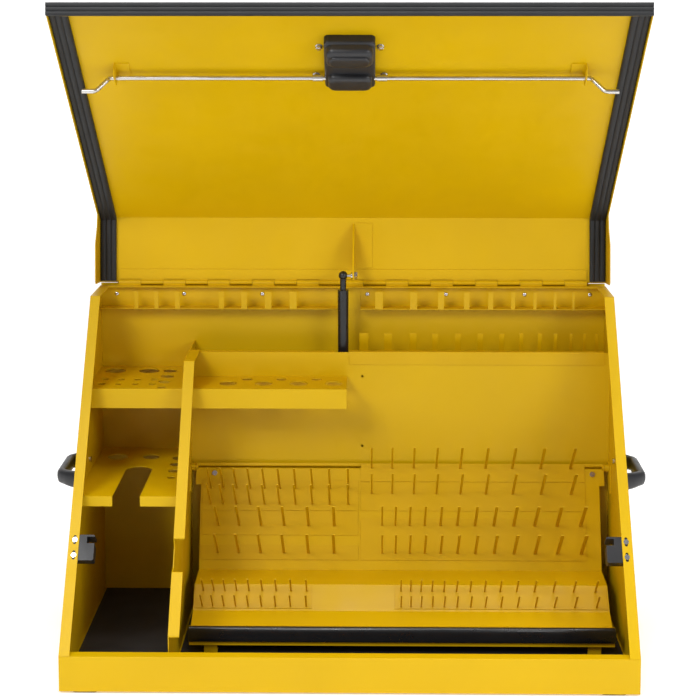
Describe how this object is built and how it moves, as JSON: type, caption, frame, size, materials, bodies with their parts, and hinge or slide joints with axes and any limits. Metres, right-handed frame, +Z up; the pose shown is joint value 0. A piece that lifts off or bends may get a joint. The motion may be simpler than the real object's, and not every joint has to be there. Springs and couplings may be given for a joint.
{
  "type": "slant-front tool chest",
  "caption": "Slant-front sheet-steel tool chest with a folding lid on a piano hinge and gas strut, rod latch, lift-up wrench tray, tool shelves and racks.",
  "frame": {"origin": "on the floor under the middle of the base, in the face of the centre foot", "axes": "+X to the right as seen from the front, +Y from the front to the back, +Z up"},
  "size_m": [0.99, 0.487, 1.0844],
  "materials": {
    "powder_coat": "fine textured yellow powder coat",
    "rack_coat": "yellow powder coat on the tool racks",
    "rubber": "ribbed black foam rubber",
    "black_plastic": "moulded black plastic",
    "bright_steel": "bright plated steel",
    "plain_steel": "plain brushed steel",
    "black_paint": "satin black paint"
  },
  "bodies": {
    "cabinet": {"back_panel": "powder_coat", "base_pan": "powder_coat", "bit_shelf": "powder_coat", "comb_rack_left": "rack_coat", "comb_rack_right": "rack_coat", "comb_rack_screws": "bright_steel", "divider_panel": "powder_coat", "drill_shelf": "powder_coat", "floor_mat_left": "rubber", "floor_mat_main": "rubber", "handle_left": "black_plastic", "handle_right": "black_plastic", "handle_screws": "bright_steel", "hinge_leaf_body": "plain_steel", "hinge_pin": "bright_steel", "inner_back_panel": "powder_coat", "rubber_feet": "rubber", "side_panel_left": "powder_coat", "side_panel_right": "powder_coat", "socket_shelf": "powder_coat", "striker_left": "black_plastic", "striker_right": "black_plastic", "striker_screws": "bright_steel", "strut_foot_bracket": "plain_steel", "tab_rack": "rack_coat", "tray_bracket_left": "powder_coat", "tray_bracket_right": "powder_coat", "tray_bumper_left": "rubber", "tray_bumper_right": "rubber", "tray_rest_left": "plain_steel", "tray_rest_right": "plain_steel"},
    "wrench_tray": {"tray_plate": "powder_coat", "wrench_pins_left": "rack_coat", "wrench_pins_right": "rack_coat", "short_pins_left": "rack_coat", "short_pins_right": "rack_coat", "tray_trim": "rubber", "tray_screws": "bright_steel"},
    "lid": {"lid_shell": "powder_coat", "seal_front": "rubber", "seal_left": "rubber", "seal_right": "rubber", "latch_dish": "plain_steel", "latch_housing": "powder_coat", "latch_band": "black_plastic", "latch_bolts": "bright_steel", "rod_guide_left": "powder_coat", "rod_guide_right": "powder_coat", "hinge_leaf_lid": "plain_steel", "strut_bracket": "powder_coat", "strut_stud": "bright_steel", "strut_nut": "bright_steel"},
    "latch_paddle": {"latch_paddle": "plain_steel"},
    "lock_plug": {"lock_plug": "bright_steel"},
    "rod_left": {"latch_rod_left": "bright_steel"},
    "rod_right": {"latch_rod_right": "bright_steel"},
    "strut_tube": {"strut_socket": "black_paint", "strut_cylinder": "black_paint"},
    "strut_plunger": {"strut_rod": "bright_steel", "strut_end": "black_paint"}
  },
  "joints": [
    {"name": "lid_hinge", "type": "hinge", "parent": "cabinet", "child": "lid", "pos_m": [0, 0.232, 0.5755], "axis": [1, 0, 0], "range_deg": [0, 95.4]},
    {"name": "tray_hinge", "type": "hinge", "parent": "cabinet", "child": "wrench_tray", "pos_m": [0, 0.134, 0.262], "axis": [1, 0, 0], "range_deg": [-14, 0]},
    {"name": "paddle_hinge", "type": "hinge", "parent": "lid", "child": "latch_paddle", "pos_m": [0, -0.15237, 1.01864], "axis": [-1, 0, 0], "range_deg": [0, 25]},
    {"name": "lock_turn", "type": "hinge", "parent": "lid", "child": "lock_plug", "pos_m": [0, -0.08201, 0.96956], "axis": [0, 0.6371, 0.7707], "range_deg": [0, 90]},
    {"name": "rod_left_slide", "type": "slide", "parent": "lid", "child": "rod_left", "axis": [-1, 0, 0], "range_m": [0, 0.012]},
    {"name": "rod_right_slide", "type": "slide", "parent": "lid", "child": "rod_right", "axis": [1, 0, 0], "range_m": [0, 0.012]},
    {"name": "strut_top_pivot", "type": "hinge", "parent": "lid", "child": "strut_tube", "pos_m": [-0.016, 0.176, 0.5985], "axis": [1, 0, 0], "range_deg": [-103.2, 0]},
    {"name": "strut_stroke", "type": "slide", "parent": "strut_tube", "child": "strut_plunger", "axis": [0, -0.0229, 0.9997], "range_m": [0, 0.0795]}
  ],
  "couplings": [
    {"joint": "rod_left_slide", "follows": "paddle_hinge", "m_per_rad": 0.0275},
    {"joint": "rod_right_slide", "follows": "paddle_hinge", "m_per_rad": 0.0275},
    {"joint": "strut_top_pivot", "follows": "lid_hinge", "ratio": -1.0817},
    {"joint": "strut_stroke", "follows": "lid_hinge", "m_per_rad": 0.04762}
  ]
}
